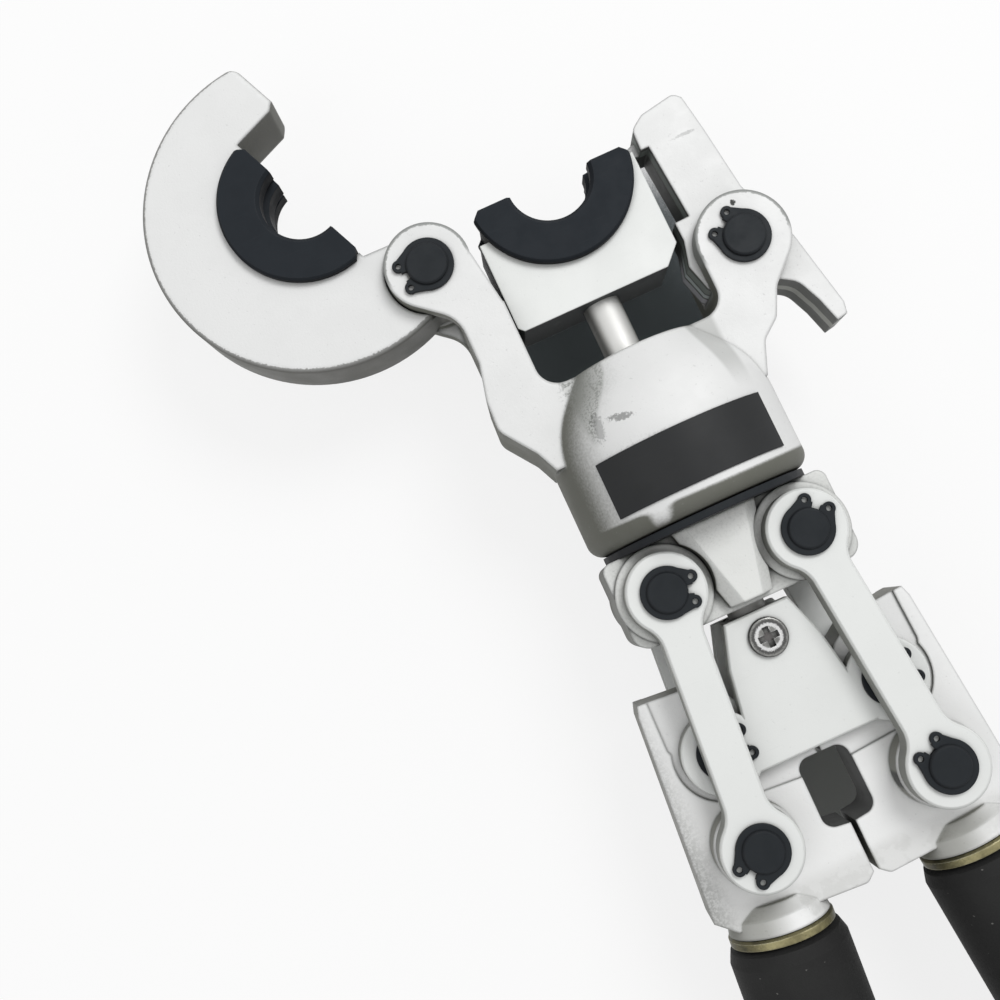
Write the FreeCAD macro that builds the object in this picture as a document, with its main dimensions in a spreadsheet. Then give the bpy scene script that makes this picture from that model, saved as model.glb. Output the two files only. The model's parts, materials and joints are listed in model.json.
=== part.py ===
import FreeCAD, Part
import Sketcher
import math
import os
import re

# Hand press pliers for pipe sleeves. Millimetres, drawn lying flat with +Z up.
# The origin is the axis of the pressed pipe, +Y points from the handles to the jaw.

sizes = {
    # press dies
    "boreRadius": 13.0,
    "ridgeRadius": 12.0,
    "grooveRadius": 14.0,
    "ridgeHalf": 3.5,
    "grooveHalf": 6.5,
    "rimBreak": 1.2,
    "dieSeatRadius": 24.6,
    "flangeRadius": 26.5,
    "dieHalfDepth": 13.0,
    "partingHalf": 0.2,
    "dieCornerCut": 2.6,
    "seatGap": 0.3,
    "runGap": 0.05,
    # jaw
    "jawHalfDepth": 10.0,
    "hingeX": 45.0,
    "hingeY": 10.0,
    "openAngle": 113.5,
    "jawOuterRadius": 52.9,
    "jawOffset": 2.7,
    "legWall": 28.1,
    "legEnd": 17.6,
    "tongueHalf": 6.0,
    "tongueRadius": 13.0,
    "bigPinRadius": 6.5,
    # ram
    "ramHalfWidth": 27.7,
    "ramLeftTop": 9.8,
    "ramRightTop": 2.3,
    "ramFoot": 40.2,
    "rodRadius": 6.0,
    "rodTip": 29.5,
    # head frame
    "frameHalfDepth": 15.0,
    "jawEarRadius": 13.5,
    "latchEarRadius": 14.6,
    "latchX": 45.5,
    "latchY": 42.5,
    "windowHalf": 28.5,
    "windowCorner": 7.0,
    "windowFloor": 60.5,
    "bodyRadius": 36.0,
    "bodyShoulder": 80.0,
    "bodyFoot": 112.9,
    "spindleRadius": 13.0,
    "spindleTop": 87.0,
    "labelHalfWidth": 25.3,
    "labelTop": 88.6,
    "labelFoot": 105.7,
    # latch
    "latchHalf": 8.0,
    "hubRadius": 12.8,
    "heelRadius": 17.1,
    "wireRadius": 1.1,
    # link block
    "blockTop": 115.4,
    "blockFoot": 143.1,
    "blockHalfWidth": 36.0,
    "blockHalfDepth": 14.0,
    "spotRadius": 14.4,
    "spotHeight": 1.6,
    "ribTopHalf": 13.2,
    "ribFootHalf": 6.6,
    "ribDepth": 21.0,
    "pivotHalf": 22.2,
    "pivotRow": 130.0,
    "pinRadius": 6.0,
    # toggle links
    "linkLength": 76.0,
    "linkEyeRadius": 12.0,
    "linkBarHalf": 6.3,
    "linkThick": 6.5,
    # yoke
    "yokeHalf": 26.3,
    "leverArm": 27.2,
    "yokeTop": 145.5,
    "yokeTopHalf": 10.3,
    "yokeFoot": 188.0,
    "plateBase": 8.3,
    "plateThick": 5.3,
    "yokeEyeRadius": 12.2,
    "coreHalf": 8.0,
    # lever heads and handles
    "headHalfDepth": 8.0,
    "headOuter": 19.2,
    "bossRadius": 12.7,
    "eyeSweep": 2.2,
    "landHeight": 0.9,
    "openBoreRadius": 8.2,
    "collarRadius": 16.0,
    "gripRadius": 18.0,
    "gripStart": 28.0,
    "handleLength": 336.0,
    "tubeRadius": 12.5,
    "socketRadius": 10.0,
    # retaining rings
    "clipThick": 1.0,
    "clipWide": 2.1,
}

doc = FreeCAD.newDocument("PipePressPliers")
dims = doc.addObject("Spreadsheet::Sheet", "Dims")
for row, name in enumerate(sizes, 1):
    dims.set("A%d" % row, name)
    dims.set("B%d" % row, str(sizes[name]))
    dims.setAlias("B%d" % row, name)
doc.recompute()

# short names for lengths that several pieces share
restAngle = "asin((yokeHalf - pivotHalf) / (linkLength - leverArm))"
kneeX = "(pivotHalf + linkLength * sin(%s))" % restAngle
kneeY = "(pivotRow + linkLength * cos(%s))" % restAngle
yokeRow = "(pivotRow + (linkLength - leverArm) * cos(%s))" % restAngle
linkBase = "(blockHalfDepth + spotHeight + 0.1)"
linkTop = "(blockHalfDepth + spotHeight + 0.1 + linkThick)"
plateTop = "(plateBase + plateThick)"


# a size text with its names pointing at the sheet
def bind(text):
    def point(match):
        word = match.group(0)
        return "Dims." + word if word in sizes else word
    return re.sub(r"[A-Za-z]\w*", point, str(text))


def value(text):
    found = dims.evalExpression(bind(text))
    return float(getattr(found, "Value", found))


def newBody(name):
    body = doc.addObject("PartDesign::Body", name)
    body.Label = name
    return body


def newSketch(body, name, plane, offset):
    sketch = body.newObject("Sketcher::SketchObject", name)
    for datum in body.Origin.OriginFeatures:
        if datum.Role == plane:
            sketch.AttachmentSupport = [(datum, "")]
    sketch.MapMode = "FlatFace"
    sketch.setExpression("AttachmentOffset.Base.z", bind(offset))
    return sketch


# ties one point of a sketch to its X and Y size texts
def pinPoint(sketch, geometry, spot, x, y):
    for kind, text in (("DistanceX", x), ("DistanceY", y)):
        if str(text) == "0":
            axis = -2 if kind == "DistanceX" else -1
            sketch.addConstraint(Sketcher.Constraint("PointOnObject", geometry, spot, axis))
            continue
        index = sketch.addConstraint(
            Sketcher.Constraint(kind, -1, 1, geometry, spot, value(text)))
        sketch.renameConstraint(index, "%s%d" % (kind[-1].lower(), index))
        sketch.setExpression("Constraints.%s%d" % (kind[-1].lower(), index), bind(text))


# a loop is a list of corners, or a circle given as (x, y, radius)
def drawLoop(sketch, loop):
    first = sketch.GeometryCount
    if isinstance(loop, tuple):
        x, y, radius = loop
        centre = FreeCAD.Vector(value(x), value(y), 0)
        sketch.addGeometry(Part.Circle(centre, FreeCAD.Vector(0, 0, 1), value(radius)), False)
        pinPoint(sketch, first, 3, x, y)
        index = sketch.addConstraint(Sketcher.Constraint("Radius", first, value(radius)))
        sketch.renameConstraint(index, "radius%d" % index)
        sketch.setExpression("Constraints.radius%d" % index, bind(radius))
        return
    points = [FreeCAD.Vector(value(x), value(y), 0) for x, y in loop]
    count = len(points)
    for k in range(count):
        sketch.addGeometry(Part.LineSegment(points[k], points[(k + 1) % count]), False)
    for k in range(count):
        after = first + (k + 1) % count
        sketch.addConstraint(Sketcher.Constraint("Coincident", first + k, 2, after, 1))
    for k, (x, y) in enumerate(loop):
        pinPoint(sketch, first + k, 1, x, y)


def pad(body, name, loops, low, high):
    sketch = newSketch(body, name + "Sketch", "XY_Plane", low)
    for loop in loops:
        drawLoop(sketch, loop)
    feature = body.newObject("PartDesign::Pad", name)
    feature.Profile = sketch
    feature.setExpression("Length", bind("(%s) - (%s)" % (high, low)))
    doc.recompute()
    return feature


def pocket(body, name, loops, low, high):
    sketch = newSketch(body, name + "Sketch", "XY_Plane", high)
    for loop in loops:
        drawLoop(sketch, loop)
    feature = body.newObject("PartDesign::Pocket", name)
    feature.Profile = sketch
    feature.setExpression("Length", bind("(%s) - (%s)" % (high, low)))
    doc.recompute()
    return feature


# turns a half profile about the upright axis of its sketch
def turn(body, name, loop, kind="PartDesign::Revolution", plane="XY_Plane"):
    sketch = newSketch(body, name + "Sketch", plane, "0")
    drawLoop(sketch, loop)
    feature = body.newObject(kind, name)
    feature.Profile = sketch
    feature.ReferenceAxis = (sketch, ["V_Axis"])
    feature.Angle = 360.0
    doc.recompute()
    return feature


# rounds the upright corners that stand on the given spots
def roundCorners(body, name, radius, spots):
    base = body.Tip
    places = [(value(x), value(y)) for x, y in spots]
    names = []
    for number, edge in enumerate(base.Shape.Edges, 1):
        ends = [v.Point for v in edge.Vertexes]
        if len(ends) < 2 or abs(ends[0].z - ends[1].z) < 0.5:
            continue
        for x, y in places:
            if all(math.hypot(p.x - x, p.y - y) < 0.05 for p in ends):
                names.append("Edge%d" % number)
    feature = body.newObject("PartDesign::Fillet", name)
    feature.Base = (base, names)
    feature.setExpression("Radius", bind(radius))
    doc.recompute()
    return feature


# breaks the edges that lie at the given heights
def breakRims(body, name, amount, heights, kind="PartDesign::Chamfer", within=None):
    base = body.Tip
    levels = [value(z) for z in heights]
    names = []
    for number, edge in enumerate(base.Shape.Edges, 1):
        box = edge.BoundBox
        flat = any(abs(box.ZMin - z) < 0.01 and abs(box.ZMax - z) < 0.01 for z in levels)
        if flat and (within is None or within(edge)):
            names.append("Edge%d" % number)
    feature = body.newObject(kind, name)
    feature.Base = (base, names)
    prop = "Size" if kind.endswith("Chamfer") else "Radius"
    feature.setExpression(prop, bind(amount))
    doc.recompute()
    return feature


# rounds the hoops of a turned piece that lie at the given places along Y
def roundHoops(body, name, radius, places):
    base = body.Tip
    rows = [value(y) for y in places]
    names = []
    for number, edge in enumerate(base.Shape.Edges, 1):
        box = edge.BoundBox
        if any(abs(box.YMin - y) < 0.01 and abs(box.YMax - y) < 0.01 for y in rows):
            names.append("Edge%d" % number)
    feature = body.newObject("PartDesign::Fillet", name)
    feature.Base = (base, names)
    feature.setExpression("Radius", bind(radius))
    doc.recompute()
    return feature


def place(body, x, y, angle="0"):
    body.setExpression("Placement.Base.x", bind(x))
    body.setExpression("Placement.Base.y", bind(y))
    if angle != "0":
        body.Placement = FreeCAD.Placement(
            FreeCAD.Vector(0, 0, 0), FreeCAD.Rotation(FreeCAD.Vector(0, 0, 1), 1.0))
        body.setExpression("Placement.Rotation.Angle", bind(angle))


# the jaw and its die are drawn shut and swung open about the jaw pin
def swingOpen(body):
    place(
        body,
        "hingeX * (cos(openAngle * 1deg) - 1) - hingeY * sin(openAngle * 1deg)",
        "hingeX * sin(openAngle * 1deg) + hingeY * (cos(openAngle * 1deg) - 1)",
        "openAngle * 1deg")


def group(name, members):
    compound = doc.addObject("Part::Compound", name)
    compound.Label = name
    compound.Links = members
    return compound


# link block

def makeLinkBlock():
    body = newBody("link_block")
    half = "blockHalfWidth"
    pad(body, "BlockSlab", [[
        ("-" + half, "-blockTop"), ("-" + half, "-blockFoot"),
        (half, "-blockFoot"), (half, "-blockTop")]], "-blockHalfDepth", "blockHalfDepth")
    roundCorners(body, "TopCorners", "3", [("-" + half, "-blockTop"), (half, "-blockTop")])
    roundCorners(body, "FootCorners", "5", [("-" + half, "-blockFoot"), (half, "-blockFoot")])
    rib = [
        ("-ribTopHalf", "-blockTop"), ("-ribFootHalf", "-blockFoot + 1.5"),
        ("ribFootHalf", "-blockFoot + 1.5"), ("ribTopHalf", "-blockTop")]
    pad(body, "Rib", [rib], "-ribDepth", "ribDepth")

    def isFlank(edge):
        return edge.BoundBox.XLength > 1 and edge.BoundBox.YLength > 1

    breakRims(body, "RibDraft", "3.6", ["ribDepth", "-ribDepth"], within=isFlank)
    for side, word in ((-1, "Left"), (1, "Right")):
        x = "%d * pivotHalf" % side
        spot = (x, "-pivotRow", "spotRadius")
        top = "blockHalfDepth + spotHeight"
        pocket(body, word + "Relief", [(x, "-pivotRow", "spotRadius + 0.5")],
               "blockHalfDepth", "ribDepth + 1")
        pocket(body, word + "ReliefRear", [(x, "-pivotRow", "spotRadius + 0.5")],
               "-ribDepth - 1", "-blockHalfDepth")
        pad(body, word + "Spot", [spot], "-(%s)" % top, top)
        pocket(body, word + "PinBore", [(x, "-pivotRow", "pinRadius + 0.02")],
               "-(%s)" % top, top)
    reach = "-pivotRow + 4"
    turn(body, "SpindleSocket", [
        ("0", "-blockTop + 1"), ("9.02", "-blockTop + 1"),
        ("9.02", reach), ("0", reach)], "PartDesign::Groove")
    turn(body, "RodBore", [
        ("0", reach + " + 1"), ("rodRadius + runGap", reach + " + 1"),
        ("rodRadius + runGap", "-blockFoot - 1"), ("0", "-blockFoot - 1")], "PartDesign::Groove")
    return body


def makeSwivelSpindle():
    body = newBody("swivel_spindle")
    bore = "rodRadius + runGap"
    turn(body, "SpindleTurning", [
        (bore, "-pivotRow + 4.2"), ("9", "-pivotRow + 4.2"), ("9", "-blockTop"),
        ("bodyRadius - 3", "-blockTop"), ("bodyRadius - 3", "-bodyFoot - 0.3"),
        ("spindleRadius", "-bodyFoot - 0.3"), ("spindleRadius", "-spindleTop - 8"),
        ("spindleRadius - 1.5", "-spindleTop - 8"), ("spindleRadius - 1.5", "-spindleTop - 5.8"),
        ("spindleRadius", "-spindleTop - 5.8"), ("spindleRadius", "-spindleTop - 1"),
        ("spindleRadius - 1", "-spindleTop"), (bore, "-spindleTop")])
    return body


# a split wire ring that locks the spindle in the head
def makeSwivelRing():
    body = newBody("swivel_snap_ring")
    pitch = "spindleTop + 6.9"
    turn(body, "RingTurning", [
        ("spindleRadius - 1.3", "-(%s) - 0.9" % pitch), ("spindleRadius + 1.4", "-(%s) - 0.9" % pitch),
        ("spindleRadius + 1.4", "-(%s) + 0.9" % pitch), ("spindleRadius - 1.3", "-(%s) + 0.9" % pitch)])
    pocket(body, "RingSplit", [[
        ("-1.2", "-bodyFoot"), ("1.2", "-bodyFoot"),
        ("1.2", "-bodyShoulder"), ("-1.2", "-bodyShoulder")]], "0", "spindleRadius + 4")
    return body


# retaining rings and the pins they sit on

# the two lugs of a ring: an eye each, and the web that runs into the ring
def makeClipLoops(x, y, radius, angle):
    turned = math.radians(angle)

    def polar(reach, spread):
        return ("%s + %s * %.5f" % (x, reach, math.cos(spread)),
                "%s + %s * %.5f" % (y, reach, math.sin(spread)))

    holes = []
    lugs = []
    webs = []
    rim = "(%s - 0.4 + clipWide)" % radius
    for side in (-1, 1):
        spread = turned + side * math.radians(26.0)
        eye = polar("(%s + 2.3)" % radius, spread)
        lugs.append((eye[0], eye[1], "1.9"))
        holes.append((eye[0], eye[1], "0.85"))
        webs.append([
            eye, polar("(%s + 2.9)" % radius, turned + side * math.radians(38.2)),
            polar(rim, turned + side * math.radians(76)), polar("(%s + 0.3)" % radius, spread)])
    gap = []
    for along, across in ((0.5, -0.12), (0.5, 0.12), (1.9, 0.30), (1.9, -0.30)):
        gx = along * math.cos(turned) - across * math.sin(turned)
        gy = along * math.sin(turned) + across * math.cos(turned)
        gap.append(("%s + %s * %.5f" % (x, radius, gx), "%s + %s * %.5f" % (y, radius, gy)))
    return lugs, webs, holes, gap


def makeClip(name, x, y, radius, low, angle):
    body = newBody(name)
    high = "%s + clipThick" % low
    lugs, webs, holes, gap = makeClipLoops(x, y, radius, angle)
    pad(body, name + "Ring", [(x, y, "%s - 0.35 + clipWide" % radius)], low, high)
    for k in (0, 1):
        pad(body, name + "Lug%d" % k, [lugs[k]], low, high)
        pad(body, name + "Web%d" % k, [webs[k]], low, high)
    pocket(body, name + "Inner", [(x, y, "%s - 0.35" % radius)], low, high)
    pocket(body, name + "Gap", [gap], low, high)
    for k in (0, 1):
        pocket(body, name + "Hole%d" % k, [holes[k]], low, high)
    return body


# a front and a rear ring on each pin, the rear one turned over
def makeClips(name, spots, radius, base):
    clips = []
    for number, (x, y, angle) in enumerate(spots, 1):
        clips.append(makeClip("%s_f%d" % (name, number), x, y, radius, base, angle))
        rear = "-(%s) - clipThick" % base
        clips.append(makeClip("%s_r%d" % (name, number), x, y, radius, rear, 180 - angle))
    return group(name, clips)


def makePin(name, x, y, radius, clipBase, over):
    body = newBody(name)
    end = "%s + clipThick + %s" % (clipBase, over)
    pad(body, name + "Shaft", [(x, y, radius)], "-(%s)" % end, end)
    breakRims(body, name + "Ends", "0.5", [end, "-(%s)" % end])
    ring = [(x, y, "%s + 1" % radius), (x, y, "%s - 0.4" % radius)]
    low = "%s - 0.02" % clipBase
    high = "%s + clipThick + 0.05" % clipBase
    pocket(body, name + "FrontGroove", [ring[0], ring[1]], low, high)
    pocket(body, name + "RearGroove", [ring[0], ring[1]], "-(%s)" % high, "-(%s)" % low)
    return body


# head frame: round body, two arms, fork ears and window

def makeHeadFrame():
    body = newBody("head_frame")
    turn(body, "RoundBody", [
        ("0", "-bodyFoot"), ("bodyRadius", "-bodyFoot"), ("bodyRadius", "-bodyShoulder + 3"),
        ("bodyRadius - 12", "-windowFloor"), ("0", "-windowFloor")])
    roundHoops(body, "ShoulderRound", "30", ["-bodyShoulder + 3"])
    roundHoops(body, "FootRound", "5", ["-bodyFoot"])
    left = [
        ("-hingeX + 1.8", "-hingeY - 2"), ("-hingeX + jawEarRadius", "-hingeY - 2"),
        ("-windowHalf - 0.3", "-hingeY - 20"), ("0", "-windowFloor"),
        ("0", "-bodyShoulder - 4"), ("-bodyRadius + 0.5", "-bodyShoulder - 4"),
        ("-bodyRadius - 2.6", "-bodyShoulder + 3"), ("-hingeX - 1.5", "-windowFloor - 5.5"),
        ("-hingeX - 1.0", "-windowFloor + 4.5"), ("-hingeX + 1.8", "-windowFloor + 16")]
    windowRight = "(latchX - latchEarRadius + 0.15)"
    right = [
        (windowRight, "-latchY"),
        ("latchX + 0.731 * latchEarRadius", "-latchY - 0.682 * latchEarRadius"),
        ("latchX + 2.4", "-latchY - 18"), ("latchX - 1.9", "-latchY - 26.8"),
        ("bodyRadius + 1.5", "-bodyShoulder + 6"), ("bodyRadius - 2.5", "-bodyShoulder - 4"),
        ("0", "-bodyShoulder - 4"), ("0", "-windowFloor + windowCorner")]
    pad(body, "LeftArm", [left], "-frameHalfDepth", "frameHalfDepth")
    roundCorners(body, "LeftArmBend", "6", [
        ("-hingeX - 1.5", "-windowFloor - 5.5"), ("-bodyRadius - 2.6", "-bodyShoulder + 3")])
    pad(body, "RightArm", [right], "-frameHalfDepth", "frameHalfDepth")
    roundCorners(body, "RightArmBend", "5", [
        ("latchX + 2.4", "-latchY - 18"), ("latchX - 1.9", "-latchY - 26.8"),
        ("bodyRadius + 1.5", "-bodyShoulder + 6")])
    pad(body, "JawEar", [("-hingeX", "-hingeY", "jawEarRadius")], "-frameHalfDepth", "frameHalfDepth")
    pad(body, "LatchEar", [("latchX", "-latchY", "latchEarRadius")],
        "-frameHalfDepth", "frameHalfDepth")
    neck = [
        ("-hingeX - 0.643 * jawEarRadius", "-hingeY - 0.766 * jawEarRadius"),
        ("-hingeX + 1.8", "-hingeY - 19.2"), ("-hingeX + 4", "-hingeY - 19.2"),
        ("-hingeX + 4", "-hingeY - 4")]
    for word, low, high in (("Front", "jawHalfDepth + 0.5", "frameHalfDepth"),
                            ("Rear", "-frameHalfDepth", "-jawHalfDepth - 0.5")):
        pad(body, word + "Neck", [neck], low, high)
    roundCorners(body, "NeckBlend", "11", [("-hingeX + 1.8", "-hingeY - 19.2")])
    leftCorner = "-windowHalf + windowCorner"
    rightCorner = windowRight + " - windowCorner"
    cornerRow = "-windowFloor + windowCorner"
    through = ("-bodyRadius - 1", "bodyRadius + 1")
    for word, start, end, foot in (("Window", "-windowHalf", windowRight, cornerRow),
                                   ("WindowFloor", leftCorner, rightCorner, "-windowFloor")):
        pocket(body, word, [[(start, foot), (end, foot), (end, "5"), (start, "5")]], *through)
    for word, x in (("Left", leftCorner), ("Right", rightCorner)):
        pocket(body, "Window" + word, [(x, cornerRow, "windowCorner")], *through)
    pocket(body, "JawSlot", [("-hingeX", "-hingeY", "tongueRadius + 1.6")],
           "-tongueHalf - 0.2", "tongueHalf + 0.2")
    pocket(body, "LatchSlot", [("latchX", "-latchY", "heelRadius + 0.7")],
           "-latchHalf - 0.3", "latchHalf + 0.3")
    pocket(body, "TailSlot", [[
        ("latchX - 4", "-latchY"), ("latchX - 4", "-bodyShoulder + 2"),
        ("latchX + 16", "-bodyShoulder + 2"), ("latchX + 16", "-latchY")]],
           "-latchHalf - 0.3", "latchHalf + 0.3")
    depth = "frameHalfDepth + 1"
    pocket(body, "JawPinBore", [("-hingeX", "-hingeY", "bigPinRadius + 0.02")], "-(%s)" % depth, depth)
    pocket(body, "LatchPinBore", [("latchX", "-latchY", "bigPinRadius + 0.02")], "-(%s)" % depth, depth)
    wide = "spindleRadius + runGap"
    ring = "spindleTop + 6.9"
    turn(body, "SpindleBore", [
        ("0", "-bodyFoot - 1"), (wide, "-bodyFoot - 1"), (wide, "-(%s) - 1" % ring),
        ("spindleRadius + 1.5", "-(%s) - 1" % ring), ("spindleRadius + 1.5", "-(%s) + 1" % ring),
        (wide, "-(%s) + 1" % ring), (wide, "-spindleTop + 0.5"),
        ("rodRadius + 0.1", "-spindleTop + 0.5"), ("rodRadius + 0.1", "-windowFloor + 1"),
        ("0", "-windowFloor + 1")], "PartDesign::Groove")
    return body


def makeLabel():
    body = newBody("label_plate")
    sketch = newSketch(body, "LabelSketch", "YZ_Plane", "0")
    drawLoop(sketch, [
        ("-labelFoot", "bodyRadius + 0.05"), ("-labelTop", "bodyRadius + 0.05"),
        ("-labelTop", "bodyRadius + 0.55"), ("-labelFoot", "bodyRadius + 0.55")])
    feature = body.newObject("PartDesign::Revolution", "LabelCurve")
    feature.Profile = sketch
    feature.ReferenceAxis = (sketch, ["H_Axis"])
    feature.Midplane = True
    feature.setExpression("Angle", bind("2 * asin(labelHalfWidth / bodyRadius)"))
    doc.recompute()
    return body


# jaw: C shaped ring with a tongue at the pin and a straight leg for the latch

def makeJaw():
    body = newBody("jaw")
    left = "-hingeX"
    pad(body, "JawDisc", [("-jawOffset", "0", "jawOuterRadius")], "-jawHalfDepth", "jawHalfDepth")
    deep = "-jawOuterRadius - 10"
    wideEnd = "jawOuterRadius + 10"
    pocket(body, "Mouth", [[
        (left + " + 14.6", deep), (left + " + 14.6", "-hingeY + 2"),
        ("-dieSeatRadius - 2", "0.3"), ("legWall", "0.3"), ("legWall", "-legEnd + 3"),
        ("legWall + 2.2", "-legEnd"), (wideEnd, "-legEnd"), (wideEnd, deep)]],
           "-jawHalfDepth", "jawHalfDepth")
    pocket(body, "RootTrim", [[
        ("-jawOuterRadius - 10", deep), (left + " + 20", deep),
        (left + " + 20", "-hingeY"), ("-jawOuterRadius - 10", "-hingeY")]],
           "-jawHalfDepth", "jawHalfDepth")
    pocket(body, "DieSeat", [("0", "0", "dieSeatRadius + seatGap")], "-jawHalfDepth", "jawHalfDepth")
    tip = "-jawOffset + sqrt(jawOuterRadius^2 - legEnd^2)"
    roundCorners(body, "TipCorner", "4", [(tip, "-legEnd")])

    def isOuter(edge):
        radius = getattr(edge.Curve, "Radius", 0)
        return edge.Length > 40 and abs(radius - value("jawOuterRadius")) < 0.1

    breakRims(body, "OuterEdge", "1.6", ["jawHalfDepth", "-jawHalfDepth"], "PartDesign::Fillet", isOuter)
    pad(body, "Tongue", [(left, "-hingeY", "tongueRadius")], "-tongueHalf", "tongueHalf")
    for word, low, high in (("Front", "tongueHalf", "jawHalfDepth"),
                            ("Rear", "-jawHalfDepth", "-tongueHalf")):
        pocket(body, word + "Step", [(left, "-hingeY", "jawEarRadius + 0.6")], low, high)
    pocket(body, "HingeBore", [(left, "-hingeY", "bigPinRadius + runGap")],
           "-jawHalfDepth", "jawHalfDepth")
    pocket(body, "CatchPocket", [[
        ("legWall + 14", "-4"), (wideEnd, "-4"), (wideEnd, "4"), ("legWall + 14", "4")]],
           "-3.6", "3.6")
    swingOpen(body)
    return body


# half of a flanged die, side +1 for the jaw and -1 for the ram
def makeDie(name, side):
    body = newBody(name)
    rim = "boreRadius + rimBreak"
    inner = "jawHalfDepth + seatGap"
    upper = [
        ("ridgeRadius", "ridgeHalf"), ("grooveRadius", "ridgeHalf + 0.6"),
        ("grooveRadius", "grooveHalf"), ("boreRadius", "grooveHalf + 0.6"),
        ("boreRadius", "dieHalfDepth - rimBreak"), (rim, "dieHalfDepth"),
        ("flangeRadius - 0.8", "dieHalfDepth"), ("flangeRadius", "dieHalfDepth - 0.8"),
        ("flangeRadius", inner), ("dieSeatRadius", inner)]
    lower = [(r, "-(%s)" % z) for r, z in reversed(upper)]
    turn(body, name + "Spool", upper + lower, plane="XZ_Plane")
    part = "%d * partingHalf" % side
    far = "%d * (flangeRadius + 5)" % -side
    span = "flangeRadius + 5"
    full = "dieHalfDepth + 1"
    pocket(body, name + "Parting", [[
        ("-(%s)" % span, part), (span, part), (span, far), ("-(%s)" % span, far)]],
           "-(%s)" % full, full)
    corner = "%d * (partingHalf + dieCornerCut)" % side
    for hand in (-1, 1):
        pocket(body, name + "Corner%d" % (hand + 1), [[
            ("%d * (flangeRadius - dieCornerCut)" % hand, part),
            ("%d * (flangeRadius + 2)" % hand, part),
            ("%d * (flangeRadius + 2)" % hand, corner + " + %d" % (2 * side))]],
               "-(%s)" % full, full)
    return body


# ram that carries the lower die

def makeRam():
    body = newBody("die_ram")
    half = "ramHalfWidth"
    pad(body, "RamSlab", [[
        ("-" + half, "-ramLeftTop"), ("0", "-ramLeftTop"), ("0", "-ramRightTop"),
        (half, "-ramRightTop"), (half, "-ramFoot + 5.8"), (half + " - 5.6", "-ramFoot"),
        ("-%s + 1.6" % half, "-ramFoot"), ("-" + half, "-ramFoot + 1.6")]],
        "-jawHalfDepth", "jawHalfDepth")
    pocket(body, "RamSeat", [("0", "0", "dieSeatRadius + seatGap")], "-jawHalfDepth", "jawHalfDepth")
    turn(body, "RodSocket", [
        ("0", "-ramFoot - 1"), ("rodRadius + runGap", "-ramFoot - 1"),
        ("rodRadius + runGap", "-ramFoot + 3"), ("rodRadius + 1.6", "-ramFoot + 3"),
        ("rodRadius + 1.6", "-ramFoot + 5"), ("rodRadius + runGap", "-ramFoot + 5"),
        ("rodRadius + runGap", "-rodTip + 0.3"), ("0", "-rodTip + 0.3")], "PartDesign::Groove")
    return body


def makeRamRing():
    body = newBody("ram_snap_ring")
    turn(body, "RamRingTurning", [
        ("rodRadius - 0.9", "-ramFoot + 3.1"), ("rodRadius + 1.5", "-ramFoot + 3.1"),
        ("rodRadius + 1.5", "-ramFoot + 4.9"), ("rodRadius - 0.9", "-ramFoot + 4.9")])
    pocket(body, "RamRingSplit", [[
        ("-1", "-ramFoot"), ("1", "-ramFoot"),
        ("1", "-ramFoot + 8"), ("-1", "-ramFoot + 8")]], "0", "rodRadius + 4")
    return body


def makePlungerRod():
    body = newBody("plunger_rod")
    foot = "-yokeTop - 26"
    turn(body, "RodTurning", [
        ("0", foot), ("rodRadius", foot), ("rodRadius", "-ramFoot + 2.9"),
        ("rodRadius - 1", "-ramFoot + 2.9"), ("rodRadius - 1", "-ramFoot + 5.1"),
        ("rodRadius", "-ramFoot + 5.1"), ("rodRadius", "-rodTip - 1"),
        ("rodRadius - 1", "-rodTip"), ("0", "-rodTip")])
    return body


# latch: forged hook, hub and finger tail, drawn about its own pin

def makeLatch():
    body = newBody("latch_arm")
    outline = [
        ("-14.3", "47.4"), ("-9.7", "50.6"), ("2.0", "52.7"), ("4.2", "50.5"), ("6.0", "38.0"),
        ("8.4", "16.5"), ("16.2", "-4.5"), ("20.8", "-29.7"), ("20.1", "-33.4"), ("16.6", "-34.1"),
        ("14.3", "-26.0"), ("11.0", "-18.1"), ("5.0", "-hubRadius - 1.6"),
        ("-0.5 * heelRadius", "-0.866 * heelRadius"), ("-0.866 * heelRadius", "-0.5 * heelRadius"),
        ("-heelRadius", "0"), ("-15.0", "8.1"), ("-15.1", "14.4"), ("-10.2", "14.6"),
        ("-11.9", "40.3"), ("-14.6", "40.3")]
    pad(body, "LatchForging", [outline], "-latchHalf", "latchHalf")
    roundCorners(body, "LatchCorners", "3", [
        ("-14.3", "47.4"), ("-9.7", "50.6"), ("2.0", "52.7"), ("16.2", "-4.5")])
    roundCorners(body, "TailBend", "7", [("11.0", "-18.1"), ("14.3", "-26.0")])
    pad(body, "CatchTooth", [[
        ("-13", "40.3"), ("-17.8", "40.6"), ("-17.2", "44.0"), ("-12", "46.0")]], "-3", "3")
    pocket(body, "SpringRoom", [("0", "0", "hubRadius - 2"),], "-4.4", "4.4")
    pocket(body, "SpringWindow", [[
        ("-3", "-6"), ("4", "-6"), ("5", "-20"), ("-2", "-20")]], "-4.4", "4.4")
    pocket(body, "LatchBore", [("0", "0", "bigPinRadius + runGap")], "-latchHalf", "latchHalf")
    place(body, "latchX", "-latchY")
    return body


# torsion spring around the latch pin

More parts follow.
